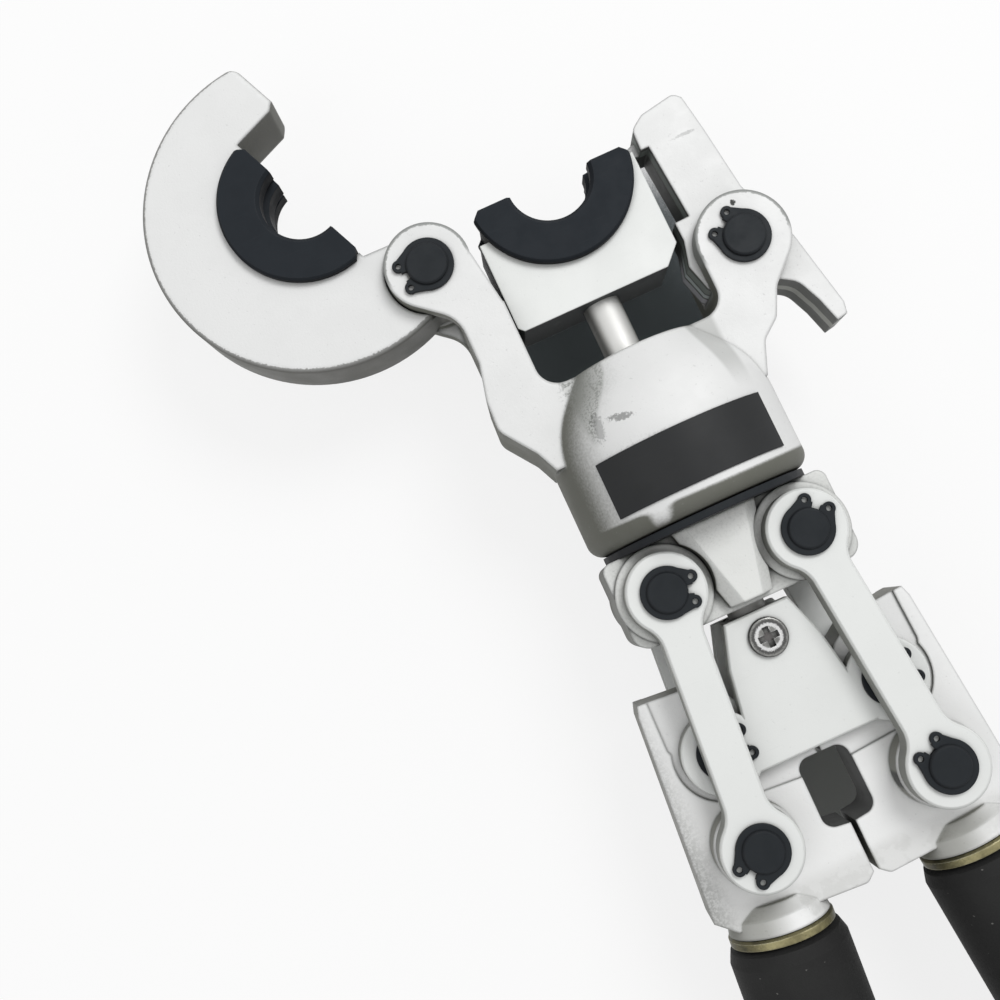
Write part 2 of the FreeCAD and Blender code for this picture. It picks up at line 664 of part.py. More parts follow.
def makeLatchSpring():
    wire = value("wireRadius")
    pitch = wire * 2.3
    radius = value("bigPinRadius") + wire + 0.25
    helix = Part.makeHelix(pitch, pitch * 2.6, radius)
    start = helix.Vertexes[0].Point
    profile = Part.Wire(Part.makeCircle(wire, start, FreeCAD.Vector(0, 1, 0)))
    coil = Part.Wire(helix.Edges).makePipeShell([profile], True, True)
    spring = doc.addObject("Part::Feature", "latch_spring")
    spring.Label = "latch_spring"
    spring.Shape = coil
    lift = -pitch * 1.3
    spring.Placement = FreeCAD.Placement(
        FreeCAD.Vector(value("latchX"), value("-latchY"), lift), FreeCAD.Rotation())
    spring.setExpression("Placement.Base.x", bind("latchX"))
    spring.setExpression("Placement.Base.y", bind("-latchY"))
    return spring


# yoke: two plates screwed to a core that pushes the rod

def yokeOutline():
    return [
        ("-yokeTopHalf", "-yokeTop"), ("-yokeTopHalf - 4.2", "-yokeTop - 12.5"),
        ("-yokeTopHalf - 6.5", "-yokeTop - 26"), ("-yokeTopHalf - 9.2", "-yokeFoot"),
        ("yokeTopHalf + 9.2", "-yokeFoot"), ("yokeTopHalf + 6.5", "-yokeTop - 26"),
        ("yokeTopHalf + 4.2", "-yokeTop - 12.5"), ("yokeTopHalf", "-yokeTop")]


def makeYokePlate(name, low, high):
    body = newBody(name)
    pad(body, name + "Web", [yokeOutline()], low, high)
    for side in (-1, 1):
        eye = ("%d * yokeHalf" % side, "-" + yokeRow, "yokeEyeRadius")
        pad(body, name + "Eye%d" % (side + 1), [eye], low, high)
        pocket(body, name + "Bore%d" % (side + 1), [(eye[0], eye[1], "pinRadius + 0.02")], low, high)
    pocket(body, name + "ScrewHole", [("0", "-yokeTop - 8.3", "3.2")], low, high)
    face = high if not high.startswith("-") else low
    breakRims(body, name + "Rim", "0.6", [face])
    return body


def makeYokeCore():
    body = newBody("yoke_core")
    foot = "-yokeFoot + 2"
    pad(body, "CoreSlab", [[
        ("-coreHalf", "-yokeTop - 0.5"), ("coreHalf", "-yokeTop - 0.5"),
        ("coreHalf", foot), ("-coreHalf", foot)]], "-plateBase", "plateBase")
    turn(body, "RodSeat", [
        ("0", "-yokeTop + 1"), ("rodRadius + 0.02", "-yokeTop + 1"),
        ("rodRadius + 0.02", "-yokeTop - 26.02"), ("0", "-yokeTop - 26.02")], "PartDesign::Groove")
    tap = [("0", "-yokeTop - 8.3", "3.15")]
    pocket(body, "FrontTap", tap, "rodRadius + 0.3", "plateBase")
    pocket(body, "RearTap", tap, "-plateBase", "-rodRadius - 0.3")
    return body


# cross recess screws, one on each face of the yoke
def makeYokeScrews():
    screws = []
    for side, word in ((1, "front"), (-1, "rear")):
        body = newBody("yoke_screw_" + word)
        top = plateTop + " + 1.6"
        pad(body, word + "Head", [("0", "-yokeTop - 8.3", "pinRadius - 0.1")],
            plateTop, top)
        breakRims(body, word + "Dome", "0.7", [top], "PartDesign::Fillet")
        pad(body, word + "Shank", [("0", "-yokeTop - 8.3", "3.1")], "rodRadius + 0.5", plateTop)
        arm = "3.1"
        slim = "0.95"
        for turnIndex, (a, b) in enumerate(((arm, slim), (slim, arm))):
            pocket(body, word + "Cross%d" % turnIndex, [[
                ("-" + a, "-yokeTop - 8.3 - " + b), (a, "-yokeTop - 8.3 - " + b),
                (a, "-yokeTop - 8.3 + " + b), ("-" + a, "-yokeTop - 8.3 + " + b)]],
                   plateTop + " + 0.1", top + " + 0.5")
        if side < 0:
            body.Placement = FreeCAD.Placement(
                FreeCAD.Vector(0, 0, 0), FreeCAD.Rotation(FreeCAD.Vector(0, 1, 0), 180))
        screws.append(body)
    return group("yoke_screws", screws)


# toggle link: two eyes and a straight bar, drawn from its upper eye downwards

def makeLink(name, side, rear):
    body = newBody(name)
    low = "-" + linkTop if rear else linkBase
    high = "-" + linkBase if rear else linkTop
    pad(body, name + "Bar", [[
        ("-linkBarHalf", "0"), ("-linkBarHalf", "-linkLength"),
        ("linkBarHalf", "-linkLength"), ("linkBarHalf", "0")]], low, high)
    for word, y in (("Upper", "0"), ("Lower", "-linkLength")):
        pad(body, name + word, [("0", y, "linkEyeRadius")], low, high)
    meet = "sqrt(linkEyeRadius^2 - linkBarHalf^2)"
    roundCorners(body, name + "Necks", "9", [
        ("-linkBarHalf", "-" + meet), ("linkBarHalf", "-" + meet),
        ("-linkBarHalf", "-linkLength + " + meet), ("linkBarHalf", "-linkLength + " + meet)])
    breakRims(body, name + "Rim", "0.7", [low if rear else high])
    for word, y in (("UpperBore", "0"), ("LowerBore", "-linkLength")):
        pocket(body, name + word, [("0", y, "pinRadius + runGap")], low, high)
    place(body, "%d * pivotHalf" % side, "-pivotRow", "%d * %s" % (side, restAngle))
    return body


# lever head, drawn about the knee pin with the handle running down

def makeLeverHead(name, side):
    body = newBody(name)

    def at(u, v):
        return ("%d * (%s)" % (side, u), v)

    outline = [
        at("-28.2", "-3.9"), at("-20.9", "-3.7"), at("-19.4", "17"), at("-26.5", "17.6"),
        at("-26.2", "20.5"), at("-17.6", "20.1"), at("-15.4", "leverArm - 4"),
        at("-15", "leverArm + 5"), at("-7.6", "leverArm + 15"), at("2", "leverArm + 20.3"),
        at("headOuter - 0.8", "leverArm + 20.3"), at("headOuter", "leverArm + 17"),
        at("headOuter - 0.2", "-18"), at("13", "-22.5"), at("-26.9", "-21.4"), at("-29.5", "-18.9")]
    pad(body, name + "Slab", [outline], "-headHalfDepth", "headHalfDepth")
    wallSlope = "1.5 / 20.7"
    land = [
        at("15.5", "leverArm + 20.3"), at("headOuter - 0.8", "leverArm + 20.3"),
        at("headOuter", "leverArm + 17"), at("headOuter - 0.2", "-18"), at("13", "-22.5"),
        at("-26.9", "-21.4"), at("-29.5", "-18.9"), at("-28.2", "-3.9"), at("-20.9", "-3.7"),
        at("-20.9 + 16.3 * " + wallSlope, "12.6"), at("-1", "12.4"), at("6", "leverArm - 12"),
        at("12", "leverArm"), at("14.6", "leverArm + 5")]
    for word, low, high in (("Front", "headHalfDepth", "headHalfDepth + landHeight"),
                            ("Rear", "-headHalfDepth - landHeight", "-headHalfDepth")):
        pad(body, name + word + "Land", [land], low, high)
    roundCorners(body, name + "Corners", "2.5", [
        at("headOuter", "leverArm + 17"), at("-26.9", "-21.4")])
    roundCorners(body, name + "HoleCorners", "3.8", [at("-20.9", "-3.7"), at("-19.4", "17")])
    for word, low, high in (("Front", "headHalfDepth", "headHalfDepth + landHeight"),
                            ("Rear", "-headHalfDepth - landHeight", "-headHalfDepth")):
        pocket(body, name + word + "Recess", [("0", "leverArm", "yokeEyeRadius + eyeSweep")],
               low, high)
    boss = "blockHalfDepth + spotHeight"
    pad(body, name + "Boss", [("0", "0", "bossRadius")], "-(%s)" % boss, boss)
    turn(body, name + "Shoulder", [
        ("0", "-17.5"), ("11", "-17.5"), ("14.5", "-20.5"), ("15.5", "-25"), ("socketRadius", "-25"),
        ("socketRadius", "-58"), ("socketRadius - 1", "-59"), ("0", "-59")])
    pocket(body, name + "KneeBore", [("0", "0", "pinRadius + 0.02")], "-(%s)" % boss, boss)
    pocket(body, name + "YokeBore", [("0", "leverArm", "openBoreRadius")],
           "-headHalfDepth", "headHalfDepth")
    place(body, "%d * %s" % (side, kneeX), "-" + kneeY, "%d * %s" % (side, restAngle))
    return body


def makeKneePin(name, side):
    body = makePin(name, "0", "0", "pinRadius", linkTop + " + 0.15", "0.9")
    place(body, "%d * %s" % (side, kneeX), "-" + kneeY, "%d * %s" % (side, restAngle))
    return body


def makeHandlePiece(name, side, loop):
    body = newBody(name)
    turn(body, name + "Turning", loop)
    place(body, "%d * %s" % (side, kneeX), "-" + kneeY, "%d * %s" % (side, restAngle))
    return body


def makeCollar(name, side):
    bore = "socketRadius + 0.05"
    return makeHandlePiece(name, side, [
        (bore, "-25"), ("collarRadius - 1", "-25"), ("collarRadius", "-26"),
        ("collarRadius", "-gripStart"), (bore, "-gripStart")])


def makeTube(name, side):
    bore = "socketRadius + 0.05"
    return makeHandlePiece(name, side, [
        (bore, "-gripStart"), ("tubeRadius", "-gripStart"), ("tubeRadius", "-handleLength + 6"),
        (bore, "-handleLength + 6")])


def makeGrip(name, side):
    bore = "tubeRadius + 0.05"
    body = makeHandlePiece(name, side, [
        (bore, "-gripStart - 0.1"), ("gripRadius - 4.5", "-gripStart - 0.1"),
        ("gripRadius - 1.3", "-gripStart - 1.6"), ("gripRadius", "-gripStart - 5"),
        ("gripRadius", "-handleLength + 10"), ("gripRadius - 1.5", "-handleLength + 6.5"),
        (bore, "-handleLength + 6.5")])
    return body


def makeEndPlug(name, side):
    return makeHandlePiece(name, side, [
        ("0", "-handleLength + 30"), ("socketRadius - 0.4", "-handleLength + 30"),
        ("socketRadius", "-handleLength + 28"), ("socketRadius", "-handleLength + 6"),
        ("gripRadius - 2", "-handleLength + 6"), ("gripRadius - 2", "-handleLength + 2"),
        ("gripRadius - 4", "-handleLength"), ("0", "-handleLength")])


def makeLever(word, side, angle):
    name = word + "_"
    clips = makeClips(name + "knee_clips", [("0", "0", angle)], "pinRadius", linkTop + " + 0.15")
    for clip in clips.Links:
        place(clip, "%d * %s" % (side, kneeX), "-" + kneeY, "%d * %s" % (side, restAngle))
    return [
        makeLeverHead(name + "lever_head", side), makeKneePin(name + "knee_pin", side), clips,
        makeCollar(name + "collar", side), makeTube(name + "handle_tube", side),
        makeGrip(name + "grip", side), makeEndPlug(name + "end_plug", side)]


def build():
    clipOnLink = linkTop + " + 0.15"
    clipOnEar = "frameHalfDepth + 0.15"
    clipOnYoke = plateTop + " + 0.1"
    upperDie = makeDie("upper_die", 1)
    swingOpen(upperDie)
    nodes = [
        makeLinkBlock(), makeSwivelSpindle(), makeSwivelRing(),
        makePin("left_block_pin", "-pivotHalf", "-pivotRow", "pinRadius", clipOnLink, "0.9"),
        makePin("right_block_pin", "pivotHalf", "-pivotRow", "pinRadius", clipOnLink, "0.9"),
        makeClips("block_clips", [
            ("-pivotHalf", "-pivotRow", -15), ("pivotHalf", "-pivotRow", 46)],
            "pinRadius", clipOnLink),
        makeHeadFrame(), makeLabel(),
        makePin("jaw_pin", "-hingeX", "-hingeY", "bigPinRadius", clipOnEar, "1.1"),
        makePin("latch_pin", "latchX", "-latchY", "bigPinRadius", clipOnEar, "1.1"),
        makeClips("ear_clips", [
            ("-hingeX", "-hingeY", 187), ("latchX", "-latchY", 127)], "bigPinRadius", clipOnEar),
        makeJaw(), upperDie, makeRam(), makeDie("lower_die", -1), makeRamRing(),
        makeLatch(), makeLatchSpring(),
        makeYokePlate("yoke_front_plate", "plateBase", plateTop),
        makeYokePlate("yoke_rear_plate", "-" + plateTop, "-plateBase"),
        makeYokeCore(), makeYokeScrews(), makePlungerRod(),
        makePin("left_yoke_pin", "-yokeHalf", "-" + yokeRow, "pinRadius", clipOnYoke, "0.65"),
        makePin("right_yoke_pin", "yokeHalf", "-" + yokeRow, "pinRadius", clipOnYoke, "0.65"),
        makeClips("yoke_clips", [
            ("-yokeHalf", "-" + yokeRow, 5), ("yokeHalf", "-" + yokeRow, 6)],
            "pinRadius", clipOnYoke),
        makeLink("left_front_link", -1, False), makeLink("left_rear_link", -1, True),
        makeLink("right_front_link", 1, False), makeLink("right_rear_link", 1, True)]
    nodes += makeLever("left", -1, 222.8)
    nodes += makeLever("right", 1, 111.7)
    return nodes


nodes = build()
doc.recompute()
unsound = [thing.Name for thing in doc.Objects
           if "Invalid" in thing.State or "Error" in thing.State]
if unsound:
    raise RuntimeError("not sound: " + ", ".join(unsound))

os.makedirs("parts", exist_ok=True)
for node in nodes:
    if node.Shape.isNull() or not node.Shape.isValid():
        raise RuntimeError("%s has no valid shape" % node.Label)
    node.Shape.exportStep("parts/%s.step" % node.Label)
    print(node.Label, len(node.Shape.Solids), round(node.Shape.Volume, 1))
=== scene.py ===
import json
import math

import bmesh
import bpy
from mathutils import Matrix, Vector

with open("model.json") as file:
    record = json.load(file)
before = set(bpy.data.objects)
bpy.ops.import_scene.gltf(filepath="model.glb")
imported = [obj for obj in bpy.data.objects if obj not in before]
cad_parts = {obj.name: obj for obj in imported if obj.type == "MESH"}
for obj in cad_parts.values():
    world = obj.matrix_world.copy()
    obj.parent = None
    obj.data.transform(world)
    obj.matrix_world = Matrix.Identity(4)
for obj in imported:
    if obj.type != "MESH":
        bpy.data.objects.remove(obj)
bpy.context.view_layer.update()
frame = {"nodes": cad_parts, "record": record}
nodes = frame["nodes"]
print("frame loaded,", len(nodes), "pieces")


# camera, solved from the pin centres of the photographed side

cameraView = {
    "place": (-0.0570, -0.12317, 0.34182),
    "right": (0.91037, -0.41174, -0.04128),
    "up": (0.41374, 0.90387, 0.10886),
    "back": (-0.00750, -0.11618, 0.99320),
    "lens": 39.9,
    "sensor": 36.0,
    "near": 0.01,
    "far": 20,
}


def addCamera(view):
    data = bpy.data.cameras.new("pliersCamera")
    data.lens = view["lens"]
    data.sensor_width = view["sensor"]
    data.clip_start = view["near"]
    data.clip_end = view["far"]
    camera = bpy.data.objects.new("pliersCamera", data)
    turned = Matrix((view["right"], view["up"], view["back"])).transposed()
    camera.matrix_world = Matrix.Translation(view["place"]) @ turned.to_4x4()
    bpy.context.scene.collection.objects.link(camera)
    bpy.context.scene.camera = camera


addCamera(cameraView)
print("camera placed")


# small helpers for shader trees

def setOrLink(tree, socket, value):
    if isinstance(value, (int, float)):
        socket.default_value = value
    else:
        tree.links.new(value, socket)


def mathNode(tree, operation, *values, clamp=False):
    node = tree.nodes.new("ShaderNodeMath")
    node.operation = operation
    node.use_clamp = clamp
    for socket, value in zip(node.inputs, values):
        setOrLink(tree, socket, value)
    return node.outputs[0]


def product(tree, first, *others):
    for other in others:
        first = mathNode(tree, "MULTIPLY", first, other)
    return first


def sway(tree, noise, reach):  # a noise between 0 and 1 turned into a shift to both sides of 0
    return product(tree, mathNode(tree, "SUBTRACT", noise, 0.5), reach)


def rangeNode(tree, value, low, high, toLow=0.0, toHigh=1.0):
    node = tree.nodes.new("ShaderNodeMapRange")
    node.interpolation_type = "SMOOTHSTEP"
    for label, given in (("Value", value), ("From Min", low), ("From Max", high),
                         ("To Min", toLow), ("To Max", toHigh)):
        setOrLink(tree, node.inputs[label], given)
    return node.outputs["Result"]


def mixColour(tree, mask, first, second):
    node = tree.nodes.new("ShaderNodeMix")
    node.data_type = "RGBA"
    tree.links.new(mask, node.inputs["Factor"])
    for socket, value in ((node.inputs[6], first), (node.inputs[7], second)):  # the colour sockets
        if isinstance(value, tuple):
            socket.default_value = (*value, 1)
        else:
            tree.links.new(value, socket)
    return node.outputs[2]


def toned(colour, share):  # the same colour, darker
    return tuple(part * share for part in colour)


def placeAxis(tree, axis):
    split = tree.nodes.new("ShaderNodeSeparateXYZ")
    tree.links.new(tree.nodes.new("ShaderNodeTexCoord").outputs["Object"], split.inputs[0])
    return split.outputs[axis]


def nearLevel(tree, height, centre, half, soft):  # 1 within half of a level, 0 past its soft edge
    away = mathNode(tree, "ABSOLUTE", mathNode(tree, "SUBTRACT", height, centre))
    return rangeNode(tree, away, half + soft, half)


def boxMask(tree, low, high, edge):  # 1 inside a rectangle seen along Z, 0 past its soft edge
    inside = None
    for axis, least, most in zip("XY", low, high):
        place = placeAxis(tree, axis)
        both = product(tree, rangeNode(tree, place, least - edge, least),
                       rangeNode(tree, place, most + edge, most))
        inside = both if inside is None else product(tree, inside, both)
    return inside


def seenRays(tree):  # 1 for the rays that show the background
    path = tree.nodes.new("ShaderNodeLightPath")
    direct = mathNode(tree, "MAXIMUM", path.outputs["Is Camera Ray"],
                      path.outputs["Is Transmission Ray"])
    return mathNode(tree, "MAXIMUM", direct, path.outputs["Is Glossy Ray"])


# world, lamps and floor

studio = {
    "skyColour": (1.0, 1.0, 1.0),
    "skyStrength": 0.54,
    "keyPower": 8.6,
    "keyPlace": (0.60, 0.45, 1.10),
    "fillPower": 1.5,
    "fillPlace": (-0.7, -0.3, 1.0),
    "lampSize": 0.7,
    "lampAim": (0, -0.1, 0),
    "white": (1.0, 1.0, 1.0),
    "whiteStrength": 1.0,  # shows as plain white
    "floorSize": 4.0,
    "floorLevel": -0.0364,
    "floorColour": (0.92, 0.92, 0.92),
    "floorBounce": (0.55, 0.55, 0.55),  # what the tool gets back from the floor
    "floorShare": 0.80,  # of plain white in the floor, the rest takes the shadow
    "darkReach": 0.12,
    "darkSamples": 12,
    "darkCover": (0.76, 0.60),  # open share of the sky where a painted floor shadow starts and is full
    "darkEdge": 0.010,
}

# painted shadow on the floor under the openings of the tool: window, latch gap, lever hole
floorShadowPatches = [
    {"low": (-0.025, -0.054), "high": (0.044, -0.013), "colour": (0.125, 0.142, 0.148)},
    {"low": (0.040, -0.020), "high": (0.046, 0.006), "colour": (0.125, 0.142, 0.148)},
    {"low": (-0.001, -0.228), "high": (0.017, -0.200), "colour": (0.33, 0.34, 0.33)},
]


def addLamp(name, place, power):
    data = bpy.data.lights.new(name, "AREA")
    data.shape = "DISK"
    data.size = studio["lampSize"]
    data.energy = power
    lamp = bpy.data.objects.new(name, data)
    lamp.location = place
    aim = Vector(studio["lampAim"]) - Vector(place)
    lamp.rotation_euler = aim.to_track_quat("-Z", "Y").to_euler()
    bpy.context.scene.collection.objects.link(lamp)


def makeWorld():
    world = bpy.data.worlds.new("whiteStudio")
    world.use_nodes = True
    tree = world.node_tree
    tree.nodes.clear()
    output = tree.nodes.new("ShaderNodeOutputWorld")
    mix = tree.nodes.new("ShaderNodeMixShader")
    tree.links.new(seenRays(tree), mix.inputs["Fac"])
    skies = ((studio["skyColour"], studio["skyStrength"]), (studio["white"], studio["whiteStrength"]))
    for index, (colour, strength) in enumerate(skies, 1):
        sky = tree.nodes.new("ShaderNodeBackground")
        sky.inputs["Color"].default_value = (*colour, 1)
        sky.inputs["Strength"].default_value = strength
        tree.links.new(sky.outputs[0], mix.inputs[index])
    tree.links.new(mix.outputs[0], output.inputs["Surface"])
    bpy.context.scene.world = world


def floorShadowMasks(tree):  # one per painted floor shadow, 1 on it as long as the tool stands over it
    around = tree.nodes.new("ShaderNodeAmbientOcclusion")
    around.samples = studio["darkSamples"]
    around.inputs["Distance"].default_value = studio["darkReach"]
    covered = rangeNode(tree, around.outputs["AO"], *studio["darkCover"])
    return [product(tree, covered, boxMask(tree, patch["low"], patch["high"], studio["darkEdge"]))
            for patch in floorShadowPatches]


def floorMaterial():
    material = bpy.data.materials.new("floorWhite")
    material.use_nodes = True
    tree = material.node_tree
    tree.nodes.clear()
    output = tree.nodes.new("ShaderNodeOutputMaterial")
    matt = tree.nodes.new("ShaderNodeBsdfDiffuse")
    colour = mixColour(tree, seenRays(tree), studio["floorBounce"], studio["floorColour"])
    floorShadow = 0.0
    for patch, mask in zip(floorShadowPatches, floorShadowMasks(tree)):
        colour = mixColour(tree, mask, colour, patch["colour"])
        floorShadow = mathNode(tree, "MAXIMUM", mask, floorShadow)
    tree.links.new(colour, matt.inputs["Color"])
    glow = tree.nodes.new("ShaderNodeEmission")
    glow.inputs["Color"].default_value = (*studio["white"], 1)
    glow.inputs["Strength"].default_value = studio["whiteStrength"]
    share = product(tree, seenRays(tree), studio["floorShare"])
    mix = tree.nodes.new("ShaderNodeMixShader")
    tree.links.new(product(tree, share, mathNode(tree, "SUBTRACT", 1.0, floorShadow)), mix.inputs["Fac"])
    tree.links.new(matt.outputs[0], mix.inputs[1])
    tree.links.new(glow.outputs[0], mix.inputs[2])
    tree.links.new(mix.outputs[0], output.inputs["Surface"])
    return material


def makeFloor():
    mesh = bpy.data.meshes.new("studioFloor")
    form = bmesh.new()
    bmesh.ops.create_grid(form, x_segments=1, y_segments=1, size=studio["floorSize"])
    bmesh.ops.translate(form, verts=form.verts, vec=(0, 0, studio["floorLevel"]))
    form.to_mesh(mesh)
    form.free()
    mesh.materials.append(floorMaterial())
    floor = bpy.data.objects.new("studioFloor", mesh)
    bpy.context.scene.collection.objects.link(floor)


makeWorld()
addLamp("keyLamp", studio["keyPlace"], studio["keyPower"])
addLamp("fillLamp", studio["fillPlace"], studio["fillPower"])
makeFloor()
bpy.context.scene.view_settings.view_transform = "Standard"
print("studio lit")


# shared surface effects, as node groups

def newGroup(name, inputs, outputs):
    group = bpy.data.node_groups.new(name, "ShaderNodeTree")
    for label, value in inputs.items():
        socket = group.interface.new_socket(name=label, in_out="INPUT", socket_type="NodeSocketFloat")
        socket.default_value = value
    for label in outputs:
        kind = "NodeSocketVector" if label == "Normal" else "NodeSocketFloat"
        group.interface.new_socket(name=label, in_out="OUTPUT", socket_type=kind)
    return group, group.nodes.new("NodeGroupInput"), group.nodes.new("NodeGroupOutput")


def noiseNode(tree, vector, scale, detail, roughness):
    node = tree.nodes.new("ShaderNodeTexNoise")
    tree.links.new(vector, node.inputs["Vector"])
    setOrLink(tree, node.inputs["Scale"], scale)
    node.inputs["Detail"].default_value = detail
    node.inputs["Roughness"].default_value = roughness
    return node.outputs["Fac"]


platedSkin = {
    "cloudDetail": 6.0, "cloudRough": 0.62, "cloudFrom": (0.36, 0.66),
    "grainDetail": 3.0, "grainRough": 0.65,
    "pitScale": 900.0, "pitDetail": 2.0, "pitRough": 0.6, "pitFrom": (0.66, 0.76),
    "scratchScale": (90.0, 2600.0, 90.0), "scratchTurn": (0, 0, 0.5),
    "scratchDetail": 1.0, "scratchRough": 0.5, "scratchFrom": (0.66, 0.80),
}


def makeSkinGroup(skin):  # cloudy skin, fine grain, small pits and drawn scratches
    group, given, out = newGroup("platedSkin", {"Cloud Scale": 120.0, "Grain Scale": 1500.0},
                                 ("Cloud", "Grain", "Pits", "Scratch"))
    place = group.nodes.new("ShaderNodeTexCoord").outputs["Object"]
    cloud = noiseNode(group, place, given.outputs["Cloud Scale"], skin["cloudDetail"], skin["cloudRough"])
    grain = noiseNode(group, place, given.outputs["Grain Scale"], skin["grainDetail"], skin["grainRough"])
    pits = noiseNode(group, place, skin["pitScale"], skin["pitDetail"], skin["pitRough"])
    stretch = group.nodes.new("ShaderNodeMapping")
    stretch.inputs["Scale"].default_value = skin["scratchScale"]
    stretch.inputs["Rotation"].default_value = skin["scratchTurn"]
    group.links.new(place, stretch.inputs["Vector"])
    scratch = noiseNode(group, stretch.outputs["Vector"], 1.0, skin["scratchDetail"], skin["scratchRough"])
    group.links.new(rangeNode(group, cloud, *skin["cloudFrom"]), out.inputs["Cloud"])
    group.links.new(grain, out.inputs["Grain"])
    group.links.new(rangeNode(group, pits, *skin["pitFrom"]), out.inputs["Pits"])
    group.links.new(rangeNode(group, scratch, *skin["scratchFrom"]), out.inputs["Scratch"])
    return group


softEdges = {
    "samples": 6,
    "bright": (0.91, -0.41, 0.0),  # the way that the lit side faces, to the right in the camera view: walls facing it are painted paler, walls facing away painted darker
    "edgeWearAndPaintedLight": (0.99, 0.84),  # cosine of an edge's turn where the edge colour starts and where it is full: wear with painted shade and painted highlights
}


def makeRoundGroup(edges):  # softened edges: normal, how upright, towards the bright side, and where
    group, given, out = newGroup("softEdges", {"Width": 0.0008}, ("Normal", "Upright", "Side", "Edge"))
    bevel = group.nodes.new("ShaderNodeBevel")
    bevel.samples = edges["samples"]
    group.links.new(given.outputs["Width"], bevel.inputs["Radius"])
    geometry = group.nodes.new("ShaderNodeNewGeometry")
    own = group.nodes.new("ShaderNodeVectorTransform")
    own.vector_type = "NORMAL"
    own.convert_from = "WORLD"
    own.convert_to = "OBJECT"
    group.links.new(bevel.outputs["Normal"], own.inputs[0])
    split = group.nodes.new("ShaderNodeSeparateXYZ")
    group.links.new(own.outputs[0], split.inputs[0])
    turn = group.nodes.new("ShaderNodeVectorMath")
    turn.operation = "DOT_PRODUCT"
    group.links.new(bevel.outputs["Normal"], turn.inputs[0])
    group.links.new(geometry.outputs["True Normal"], turn.inputs[1])
    side = group.nodes.new("ShaderNodeVectorMath")
    side.operation = "DOT_PRODUCT"
    side.inputs[1].default_value = edges["bright"]
    group.links.new(own.outputs[0], side.inputs[0])
    group.links.new(side.outputs["Value"], out.inputs["Side"])
    group.links.new(bevel.outputs["Normal"], out.inputs["Normal"])
    group.links.new(mathNode(group, "ABSOLUTE", split.outputs["Z"]), out.inputs["Upright"])
    group.links.new(rangeNode(group, turn.outputs["Value"], *edges["edgeWearAndPaintedLight"]), out.inputs["Edge"])
    return group


crevice = {"samples": 6, "Reach": 0.003, "Start": 0.80, "Full": 0.30}


def makeCreviceGroup(gap):  # 1 deep in the gaps between pieces
    group, given, out = newGroup("crevice", {label: gap[label] for label in ("Reach", "Start", "Full")},
                                 ("Mask",))
    around = group.nodes.new("ShaderNodeAmbientOcclusion")
    around.samples = gap["samples"]
    group.links.new(given.outputs["Reach"], around.inputs["Distance"])
    mask = rangeNode(group, around.outputs["AO"], given.outputs["Start"], given.outputs["Full"])
    group.links.new(mask, out.inputs["Mask"])
    return group


effects = {
    "skin": makeSkinGroup(platedSkin),
    "round": makeRoundGroup(softEdges),
    "crevice": makeCreviceGroup(crevice),
}
print("surface effects ready")
